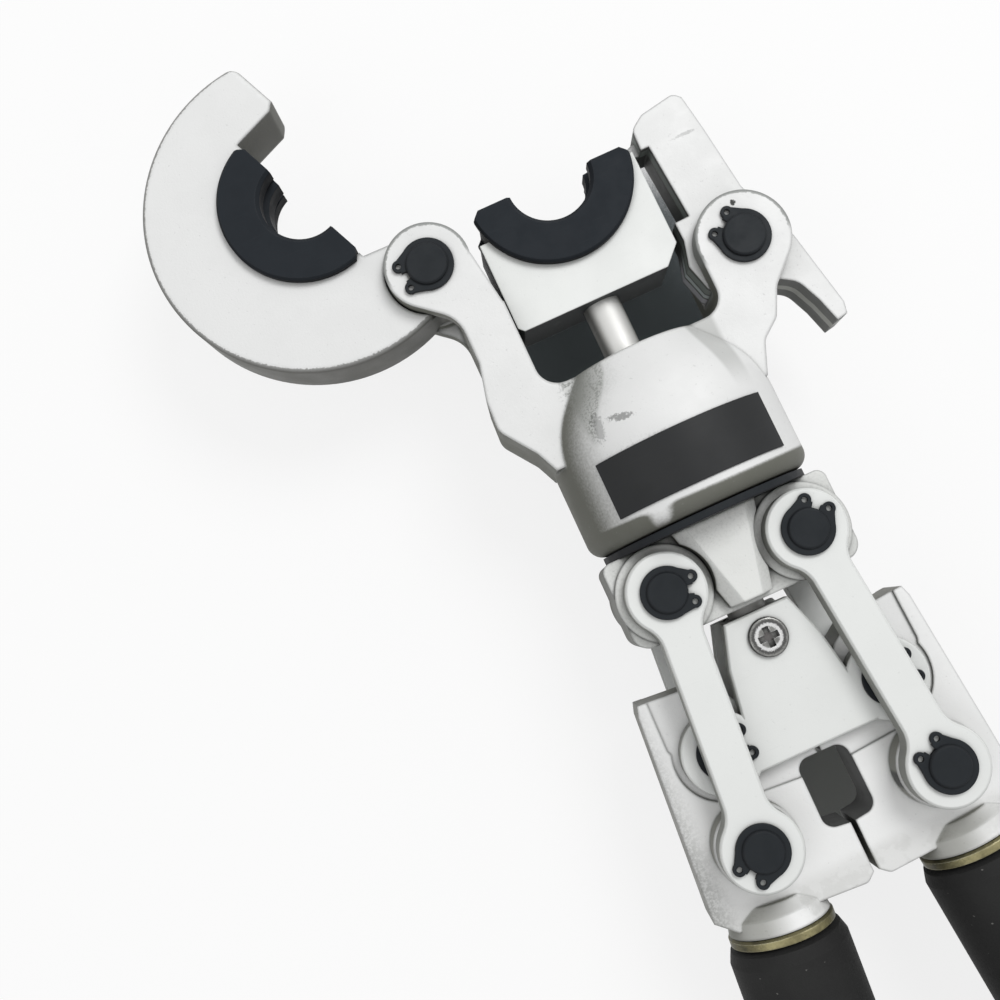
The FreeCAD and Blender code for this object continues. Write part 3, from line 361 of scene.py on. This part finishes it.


# finishes
# face, wall, edge: colours of flat skin, of skin that stands upright, which is painted shade for dark
# reflections, and of edges, which is wear with painted shade and painted highlights
# steep, level: how far skin faces up or down (1 is flat) where wall ends and where face is full
# ragged: fray of that border; shade, pits, scratch: strength of cloudy mottle, pits and scratches; the key
# for gaps: strength of painted shade in the gaps between pieces
# spread: roughness that the clouds add to rough; round: radius of the softened edges in metres

screwAxis = (0, -0.1538)
finishes = {
    "forged_zinc": {
        "face": (0.80, 0.805, 0.80), "wall": (0.205, 0.205, 0.180), "edge": (0.34, 0.35, 0.34),
        "steep": 0.12, "level": 0.60, "ragged": 0.20, "shade": 0.05, "pits": 0.22, "scratch": 0.0,
        "cloudScale": 60.0, "grainScale": 1300.0, "metallic": 0.08, "rough": 0.48,
        "spread": 0.14, "bump": 0.28, "round": 0.0012, "grime": 0.60},
    "machined_zinc": {
        "face": (0.80, 0.815, 0.80), "wall": (0.24, 0.245, 0.225), "edge": (0.46, 0.48, 0.46),
        "steep": 0.30, "level": 0.80, "ragged": 0.08, "shade": 0.04, "pits": 0.12, "scratch": 0.10,
        "cloudScale": 45.0, "grainScale": 2200.0, "metallic": 0.08, "rough": 0.46,
        "spread": 0.12, "bump": 0.12, "round": 0.0006, "grime": 0.55},
    "black_oxide": {
        "face": (0.012, 0.015, 0.018), "wall": (0.009, 0.010, 0.012), "edge": (0.010, 0.011, 0.013),
        "steep": 0.40, "level": 0.90, "ragged": 0.05, "shade": 0.10, "pits": 0.10, "scratch": 0.02,
        "cloudScale": 160.0, "grainScale": 2600.0, "metallic": 0.0, "rough": 0.52,
        "spread": 0.12, "bump": 0.12, "round": 0.0005, "grime": 0.4, "shine": 0.2},
    "die_black": {
        "face": (0.0215, 0.0255, 0.0305), "wall": (0.008, 0.009, 0.011), "edge": (0.055, 0.060, 0.068),
        "steep": 0.40, "level": 0.90, "ragged": 0.10, "shade": 0.08, "pits": 0.10, "scratch": 0.04,
        "cloudScale": 140.0, "grainScale": 2400.0, "metallic": 0.0, "rough": 0.50,
        "spread": 0.14, "bump": 0.14, "round": 0.0006, "grime": 0.4, "shine": 0.07},
    "bright_rod": {
        "face": (0.78, 0.78, 0.76), "wall": (0.20, 0.20, 0.19), "edge": (0.6, 0.6, 0.6),
        "steep": 0.35, "level": 0.85, "ragged": 0.05, "shade": 0.08, "pits": 0.0, "scratch": 0.10,
        "cloudScale": 80.0, "grainScale": 1800.0, "metallic": 0.4, "rough": 0.45,
        "spread": 0.12, "bump": 0.08, "round": 0.0004, "grime": 0.6},
    # chrome screw: pale rim and bright ring are painted highlights, dark ring and dark centre painted shade
    "chrome_screw": {
        "face": (0.27, 0.27, 0.26), "wall": (0.02, 0.02, 0.02), "edge": (0.92, 0.92, 0.92),
        "steep": 0.55, "level": 0.97, "ragged": 0.10, "shade": 0.75, "pits": 0.3, "scratch": 0.15,
        "cloudScale": 420.0, "grainScale": 3000.0, "metallic": 0.9, "rough": 0.22, "rim": 1.0,
        "rings": [{"centre": screwAxis, "radius": 0.0045, "half": 0.0003, "tint": (0.05, 0.05, 0.05)},
                  {"centre": screwAxis, "radius": 0.0036, "half": 0.0003, "tint": (0.8, 0.8, 0.8)},
                  {"centre": screwAxis, "radius": 0.0, "half": 0.0012, "tint": (0.12, 0.11, 0.11)}],
        "spread": 0.10, "bump": 0.10, "round": 0.0004, "grime": 0.9},
    "spring_wire": {
        "face": (0.62, 0.64, 0.64), "wall": (0.30, 0.32, 0.32), "edge": (0.8, 0.8, 0.8),
        "steep": 0.35, "level": 0.85, "ragged": 0.0, "shade": 0.10, "pits": 0.0, "scratch": 0.0,
        "cloudScale": 300.0, "grainScale": 3000.0, "metallic": 0.8, "rough": 0.28,
        "spread": 0.10, "bump": 0.05, "round": 0.0002, "grime": 0.6},
    "yellow_zinc": {
        "face": (0.30, 0.27, 0.14), "wall": (0.045, 0.042, 0.022), "edge": (0.80, 0.76, 0.55),
        "steep": 0.45, "level": 0.95, "ragged": 0.45, "shade": 0.80, "pits": 0.6, "scratch": 0.05,
        "cloudScale": 240.0, "grainScale": 2000.0, "metallic": 0.5, "rough": 0.36,
        "spread": 0.20, "bump": 0.25, "round": 0.0006, "grime": 0.95},
    "tube_steel": {
        "face": (0.62, 0.62, 0.61), "wall": (0.30, 0.30, 0.29), "edge": (0.7, 0.7, 0.7),
        "steep": 0.35, "level": 0.85, "ragged": 0.05, "shade": 0.10, "pits": 0.0, "scratch": 0.05,
        "cloudScale": 80.0, "grainScale": 1800.0, "metallic": 0.7, "rough": 0.35,
        "spread": 0.12, "bump": 0.1, "round": 0.0004, "grime": 0.6},
    "plug_plastic": {
        "face": (0.016, 0.016, 0.017), "wall": (0.012, 0.012, 0.013), "edge": (0.03, 0.03, 0.03),
        "steep": 0.35, "level": 0.85, "ragged": 0.0, "shade": 0.15, "pits": 0.0, "scratch": 0.0,
        "cloudScale": 150.0, "grainScale": 1800.0, "metallic": 0.0, "rough": 0.55,
        "spread": 0.10, "bump": 0.2, "round": 0.0006, "grime": 0.3},
    "label_black": {
        "face": (0.011, 0.012, 0.013), "wall": (0.011, 0.012, 0.013), "edge": (0.08, 0.08, 0.08),
        "steep": 0.35, "level": 0.85, "ragged": 0.0, "shade": 0.10, "pits": 0.0, "scratch": 0.03,
        "cloudScale": 60.0, "grainScale": 2600.0, "metallic": 0.0, "rough": 0.50,
        "spread": 0.08, "bump": 0.03, "round": 0.0002, "grime": 0.2},
}

# jaw: painted wall shade that starts early on the rounded rim, and a fine dark outline of painted shade
# around its curve
forged = finishes["forged_zinc"]
finishes["jaw_forging"] = dict(
    forged, wall=(0.160, 0.160, 0.144), steep=0.34, level=0.96, ragged=0.22, round=0.0020,
    rings=[{"centre": (-0.0710, 0.0248), "radius": 0.0526, "half": 0.0006, "tint": (0.15, 0.15, 0.14)}])

# latch: pale lines along its walls, the parting line at mid height and painted highlights above and below
# it, and a small dark mark
innerSide = (0.047, 0.044)  # from the latch pin towards the middle of the tool
heel = (-0.034, -0.040)  # below the pin
finishes["latch_forging"] = dict(
    forged, wall=(0.110, 0.114, 0.106),
    lines=[{"level": 0.0, "half": 0.0014, "from": (0.046, 0.050), "tint": (0.48, 0.49, 0.45)},
           {"level": 0.0040, "half": 0.0016, "from": innerSide, "tint": (0.27, 0.30, 0.28)},
           {"level": -0.0005, "half": 0.0012, "from": innerSide, "along": heel, "tint": (0.62, 0.68, 0.68)},
           {"level": -0.0052, "half": 0.0017, "from": innerSide, "along": heel, "tint": (0.58, 0.58, 0.62)}],
    stains=[{"at": (0.0450, -0.0032), "size": (0.0042, 0.0006), "turn": 0.0, "depth": 0.32}])

# head: painted wall shade, paler on the bright side, a ring of painted shade on the upper edge of each ear,
# speckle, painted shade with one painted highlight on the turned foot, painted shade on a cast slope beside
# each arm, small dark marks
earShadeRing = {"half": 0.0004, "tint": (0.22, 0.23, 0.22)}
finishes["head_casting"] = dict(
    forged, wall=(0.140, 0.142, 0.122), steep=0.20, level=0.70, lean=0.28, shine=0.15, round=0.0018,
    rings=[dict(earShadeRing, centre=(-0.0450, -0.0100), radius=0.0132, above=-0.0110),
           dict(earShadeRing, centre=(0.0455, -0.0425), radius=0.0143, above=-0.0450)],
    speckle=0.85, speckleBox={"low": (-0.0235, -0.086), "high": (-0.006, -0.058)},
    foot={"start": -0.1062, "full": -0.1090, "shade": 0.85, "glint": -0.0156},
    facets=[{"side": -1, "start": -0.061, "end": -0.083, "inner": (0.0112, 0.0220),
             "outer": 0.0236, "fade": 0.003, "plain": 0.26, "grain": 0.70},
            {"side": 1, "start": -0.059, "end": -0.085, "inner": (0.0168, 0.0203),
             "outer": 0.0262, "fade": 0.011, "plain": 0.40, "grain": 0.0}],
    stains=[{"at": (-0.0138, -0.0795), "size": (0.0036, 0.0011), "turn": -0.30, "depth": 0.60},
            {"at": (-0.0205, -0.0790), "size": (0.0016, 0.0046), "turn": -0.15, "depth": 0.40},
            {"at": (0.0470, -0.0316), "size": (0.0009, 0.0009), "turn": 0.0, "depth": 1.0}])

# block and ram: darker walls of painted shade, the block face a shaded copy of the forged face; lever heads:
# a brighter copy of it for more light, with painted shade in the hole and on the turned foot
finishes["block_forging"] = dict(
    forged, face=(0.77, 0.78, 0.76), wall=(0.105, 0.108, 0.094), speckle=0.14, grime=0.90)
finishes["ram_block"] = dict(finishes["machined_zinc"], wall=(0.034, 0.039, 0.041))
finishes["lever_forging"] = dict(
    forged, face=(0.90, 0.905, 0.90), grime=0.45,
    hole={"low": (-0.013, -0.217), "high": (0.016, -0.187), "edge": 0.0003, "tint": (0.052, 0.054, 0.052)},
    neck={"start": -0.2185, "full": -0.2235})
# left lever head: painted shade with grain along its outer margin
finishes["left_lever_forging"] = dict(
    finishes["lever_forging"],
    strip={"from": (-0.039, -0.049), "grain": (0.35, 0.62, 0.42, 0.78), "tint": (0.27, 0.275, 0.26)})

ownFinish = {
    "jaw": "jaw_forging",
    "latch_arm": "latch_forging",
    "head_frame": "head_casting",
    "link_block": "block_forging",
    "die_ram": "ram_block",
    "left_lever_head": "left_lever_forging",
    "right_lever_head": "lever_forging",
}


def useEffect(tree, name, **values):
    node = tree.nodes.new("ShaderNodeGroup")
    node.node_tree = effects[name]
    for label, value in values.items():
        node.inputs[label.replace("_", " ")].default_value = value
    return node


wallLine = {"wander": 0.0007, "soft": 0.0006, "share": 0.9}


def addWallLines(tree, colour, level, skin, lines):  # pale lines on the walls, parting line and painted highlights, each on its own side of the latch pin
    walls = mathNode(tree, "SUBTRACT", 1.0, level)
    wander = sway(tree, skin.outputs["Cloud"], wallLine["wander"])
    height = mathNode(tree, "ADD", placeAxis(tree, "Z"), wander)
    for line in lines:
        mask = product(tree, walls, nearLevel(tree, height, line["level"], line["half"], wallLine["soft"]),
                       rangeNode(tree, placeAxis(tree, "X"), *line["from"]))
        if "along" in line:
            mask = product(tree, mask, rangeNode(tree, placeAxis(tree, "Y"), *line["along"]))
        colour = mixColour(tree, product(tree, mask, wallLine["share"]), colour, line["tint"])
    return colour


castFacet = {"soft": 0.0008, "outerSoft": 0.001, "endSoft": 0.002, "grain": (0.46, 0.58),
             "tint": (0.24, 0.25, 0.23)}


def addFacet(tree, colour, skin, facet):  # painted shade of a cast slope beside an arm, plain grey or rough with grain
    along = placeAxis(tree, "Y")
    across = product(tree, placeAxis(tree, "X"), facet["side"])
    inner = rangeNode(tree, along, facet["start"], facet["end"], *facet["inner"])
    beyond = mathNode(tree, "SUBTRACT", across, inner)
    soft = castFacet["outerSoft"]
    mask = product(tree, rangeNode(tree, beyond, -castFacet["soft"], castFacet["soft"]),
                   rangeNode(tree, across, facet["outer"] + soft, facet["outer"] - soft),
                   rangeNode(tree, along, facet["end"] - castFacet["endSoft"], facet["end"] + facet["fade"]))
    colour = mixColour(tree, product(tree, mask, facet["plain"]), colour, castFacet["tint"])
    grain = product(tree, rangeNode(tree, skin.outputs["Grain"], *castFacet["grain"]), facet["grain"])
    return mixColour(tree, product(tree, mask, grain), colour, castFacet["tint"])


speckled = {"reach": 0.012, "start": 0.96, "full": 0.72, "grain": (0.50, 0.60), "boxEdge": 0.004,
            "tone": 0.30}


def addSpeckle(tree, colour, skin, look):  # scattered dark grain where the skin turns a corner
    near = useEffect(tree, "crevice", Reach=speckled["reach"], Start=speckled["start"],
                     Full=speckled["full"])
    grain = rangeNode(tree, skin.outputs["Grain"], *speckled["grain"])
    spots = product(tree, near.outputs["Mask"], grain, look["speckle"])
    if "speckleBox" in look:
        box = look["speckleBox"]
        spots = product(tree, spots, boxMask(tree, box["low"], box["high"], speckled["boxEdge"]))
    return mixColour(tree, spots, colour, toned(look["face"], speckled["tone"]))


drawnRing = {"ragged": 0.0016, "soft": 0.0004, "endSoft": 0.002, "share": 0.75}


def addRing(tree, colour, skin, ring):  # ring with a ragged outline around an axis along Z, used for painted shade and painted highlights
    across = mathNode(tree, "SUBTRACT", placeAxis(tree, "X"), ring["centre"][0])
    along = mathNode(tree, "SUBTRACT", placeAxis(tree, "Y"), ring["centre"][1])
    square = mathNode(tree, "ADD", product(tree, across, across), product(tree, along, along))
    radius = mathNode(tree, "SQRT", square)
    ragged = sway(tree, skin.outputs["Grain"], drawnRing["ragged"])
    mask = nearLevel(tree, mathNode(tree, "ADD", radius, ragged), ring["radius"], ring["half"],
                     drawnRing["soft"])
    if "above" in ring:
        end, soft = ring["above"], drawnRing["endSoft"]
        mask = product(tree, mask, rangeNode(tree, placeAxis(tree, "Y"), end - soft, end + soft))
    return mixColour(tree, product(tree, mask, drawnRing["share"]), colour, ring["tint"])


darkMarkLook = {"ragged": -4.0, "from": (1.3, 0.4), "tint": (0.06, 0.062, 0.058)}


def addDarkMark(tree, colour, skin, darkMark):  # small dark mark with a ragged outline
    cosine, sine = math.cos(darkMark["turn"]), math.sin(darkMark["turn"])
    across = mathNode(tree, "SUBTRACT", placeAxis(tree, "X"), darkMark["at"][0])
    along = mathNode(tree, "SUBTRACT", placeAxis(tree, "Y"), darkMark["at"][1])
    squares = []
    for first, second, size in ((cosine, sine, darkMark["size"][0]), (-sine, cosine, darkMark["size"][1])):
        part = mathNode(tree, "ADD", product(tree, across, first / size),
                        product(tree, along, second / size))
        squares.append(product(tree, part, part))
    reach = mathNode(tree, "ADD", *squares)
    ragged = mathNode(tree, "ADD", reach, sway(tree, skin.outputs["Grain"], darkMarkLook["ragged"]))
    mask = product(tree, rangeNode(tree, ragged, *darkMarkLook["from"]), darkMark["depth"])
    return mixColour(tree, mask, colour, darkMarkLook["tint"])


def addHole(tree, colour, level, hole):  # painted shade on the walls inside the hole of a lever head
    inside = boxMask(tree, hole["low"], hole["high"], hole["edge"])
    walls = mathNode(tree, "SUBTRACT", 1.0, level)
    return mixColour(tree, product(tree, inside, walls), colour, hole["tint"])


turnedNeck = {"side": (0.25, -0.55), "cloud": (0.2, 0.8), "streak": 0.35, "share": 0.65,
              "tint": (0.19, 0.19, 0.155)}


def addNeck(tree, colour, soft, skin, neck):  # painted shade on the turned foot of a lever head, darker on the side away from the light, with streaks
    away = rangeNode(tree, placeAxis(tree, "Y"), neck["start"], neck["full"])
    turned = rangeNode(tree, soft.outputs["Side"], *turnedNeck["side"])
    streak = product(tree, rangeNode(tree, skin.outputs["Cloud"], *turnedNeck["cloud"]),
                     turnedNeck["streak"])
    mask = product(tree, away, mathNode(tree, "MAXIMUM", turned, streak), turnedNeck["share"])
    return mixColour(tree, mask, colour, turnedNeck["tint"])


def addStrip(tree, colour, skin, strip):  # painted shade with grain along the outer margin of the left lever head
    outer = rangeNode(tree, placeAxis(tree, "X"), *strip["from"])
    grain = rangeNode(tree, skin.outputs["Grain"], *strip["grain"])
    return mixColour(tree, product(tree, outer, grain), colour, strip["tint"])


footGlint = {"half": 0.001, "soft": 0.005, "share": 0.8}


def footShade(tree, foot):  # painted shade on the turned foot of the head, with one painted highlight
    along = rangeNode(tree, placeAxis(tree, "Y"), foot["start"], foot["full"])
    glint = nearLevel(tree, placeAxis(tree, "X"), foot["glint"], footGlint["half"], footGlint["soft"])
    dull = mathNode(tree, "SUBTRACT", 1.0, product(tree, glint, footGlint["share"]))
    return product(tree, along, dull, foot["shade"])


def addBump(tree, shader, height, strength, reach, normal=None):
    bump = tree.nodes.new("ShaderNodeBump")
    bump.inputs["Strength"].default_value = strength
    bump.inputs["Distance"].default_value = reach
    tree.links.new(height, bump.inputs["Height"])
    if normal is not None:
        tree.links.new(normal, bump.inputs["Normal"])
    tree.links.new(bump.outputs["Normal"], shader.inputs["Normal"])


# what every metal and plastic finish shares, unless its own dictionary says otherwise
common = {
    "gapReach": 0.003,
    "lean": 0.12,  # painted light and shade: how much paler a wall gets facing the bright side, and darker facing away
    "rim": 0.55, "edgeShadeTurn": 0.3,  # edge colour share, wear with painted shade and highlights, and how much less of it on the bright side, which is painted light
    "shine": 0.3,
    "cloudTone": 0.5, "pitTone": 0.4, "gapShadeTone": 0.3,
    "scratchTone": 0.6, "scratchLift": 0.1,
    "pitDepth": 0.8, "bumpReach": 0.0002,
}


def makeMetal(name, look):
    look = {**common, **look}
    material = bpy.data.materials.new(name)
    material.use_nodes = True
    tree = material.node_tree
    shader = tree.nodes["Principled BSDF"]
    skin = useEffect(tree, "skin", Cloud_Scale=look["cloudScale"], Grain_Scale=look["grainScale"])
    soft = useEffect(tree, "round", Width=look["round"])
    gaps = useEffect(tree, "crevice", Reach=look["gapReach"])

    # flat faces and walls, with a ragged border between them; walls take the painted shade colour
    upright = mathNode(tree, "ADD", soft.outputs["Upright"],
                       sway(tree, skin.outputs["Grain"], look["ragged"]))
    upright = mathNode(tree, "ADD", upright, product(tree, soft.outputs["Side"], look["lean"]))
    if "foot" in look:
        upright = mathNode(tree, "SUBTRACT", upright, footShade(tree, look["foot"]))
    level = rangeNode(tree, upright, look["steep"], look["level"])
    colour = mixColour(tree, level, look["wall"], look["face"])

    # edges in wear with painted shade and painted highlights, clouds, pits and scratches
    facing = mathNode(tree, "SUBTRACT", look["rim"], product(tree, soft.outputs["Side"], look["edgeShadeTurn"]))
    edgeWearAndPaintedLight = mathNode(tree, "MULTIPLY", soft.outputs["Edge"], facing, clamp=True)
    colour = mixColour(tree, edgeWearAndPaintedLight, colour, look["edge"])
    lifted = tuple(min(1.0, part + look["scratchLift"]) for part in toned(look["face"], look["scratchTone"]))
    for output, share, tint in (("Cloud", look["shade"], toned(look["face"], look["cloudTone"])),
                                ("Pits", look["pits"], toned(look["face"], look["pitTone"])),
                                ("Scratch", look["scratch"], lifted)):
        colour = mixColour(tree, product(tree, skin.outputs[output], share), colour, tint)

    # what only some pieces have
    if "lines" in look:
        colour = addWallLines(tree, colour, level, skin, look["lines"])
    for facet in look.get("facets", []):
        colour = addFacet(tree, colour, skin, facet)
    if "speckle" in look:
        colour = addSpeckle(tree, colour, skin, look)
    for ring in look.get("rings", []):
        colour = addRing(tree, colour, skin, ring)
    for darkMark in look.get("stains", []):
        colour = addDarkMark(tree, colour, skin, darkMark)
    if "hole" in look:
        colour = addHole(tree, colour, level, look["hole"])
    if "neck" in look:
        colour = addNeck(tree, colour, soft, skin, look["neck"])
    if "strip" in look:
        colour = addStrip(tree, colour, skin, look["strip"])

    # painted shade in the gaps between pieces, where little of the sky is seen
    grime = product(tree, gaps.outputs["Mask"], look["grime"])
    colour = mixColour(tree, grime, colour, toned(look["wall"], look["gapShadeTone"]))
    tree.links.new(colour, shader.inputs["Base Color"])
    rough = mathNode(tree, "MULTIPLY_ADD", skin.outputs["Cloud"], look["spread"], look["rough"])
    tree.links.new(rough, shader.inputs["Roughness"])
    shader.inputs["Metallic"].default_value = look["metallic"]
    shader.inputs["Specular IOR Level"].default_value = look["shine"]
    height = mathNode(tree, "SUBTRACT", skin.outputs["Grain"],
                      product(tree, skin.outputs["Pits"], look["pitDepth"]))
    addBump(tree, shader, height, look["bump"], look["bumpReach"], soft.outputs["Normal"])
    return material


rubber = {
    "colour": (0.012, 0.012, 0.012), "faded": (0.022, 0.023, 0.022), "fade": 0.35,
    "dust": (0.42, 0.41, 0.39), "dustShare": 0.35, "dustScale": 646.0,
    "dustDetail": 1.0, "dustRough": 0.3, "dustFrom": (0.77, 0.84),
    "cloudScale": 70.0, "grainScale": 1500.0, "rough": 0.72, "shine": 0.25,
    "bump": 0.45, "bumpReach": 0.0003,
}


def makeRubber(look):
    material = bpy.data.materials.new("grip_rubber")
    material.use_nodes = True
    tree = material.node_tree
    shader = tree.nodes["Principled BSDF"]
    skin = useEffect(tree, "skin", Cloud_Scale=look["cloudScale"], Grain_Scale=look["grainScale"])
    place = tree.nodes.new("ShaderNodeTexCoord").outputs["Object"]
    specks = noiseNode(tree, place, look["dustScale"], look["dustDetail"], look["dustRough"])
    specks = rangeNode(tree, specks, *look["dustFrom"])
    faded = mixColour(tree, product(tree, skin.outputs["Cloud"], look["fade"]),
                      look["colour"], look["faded"])
    dusted = mixColour(tree, product(tree, specks, look["dustShare"]), faded, look["dust"])
    tree.links.new(dusted, shader.inputs["Base Color"])
    shader.inputs["Roughness"].default_value = look["rough"]
    shader.inputs["Specular IOR Level"].default_value = look["shine"]
    addBump(tree, shader, skin.outputs["Grain"], look["bump"], look["bumpReach"])
    return material


materials = {name: makeMetal(name, look) for name, look in finishes.items()}
materials["grip_rubber"] = makeRubber(rubber)
slotOf = {entry["node"]: entry["material_slot"] for entry in frame["record"]["subparts"]}
for name, thing in nodes.items():
    thing.data.materials.clear()
    thing.data.materials.append(materials[ownFinish.get(name, slotOf[name])])
print("finishes made")
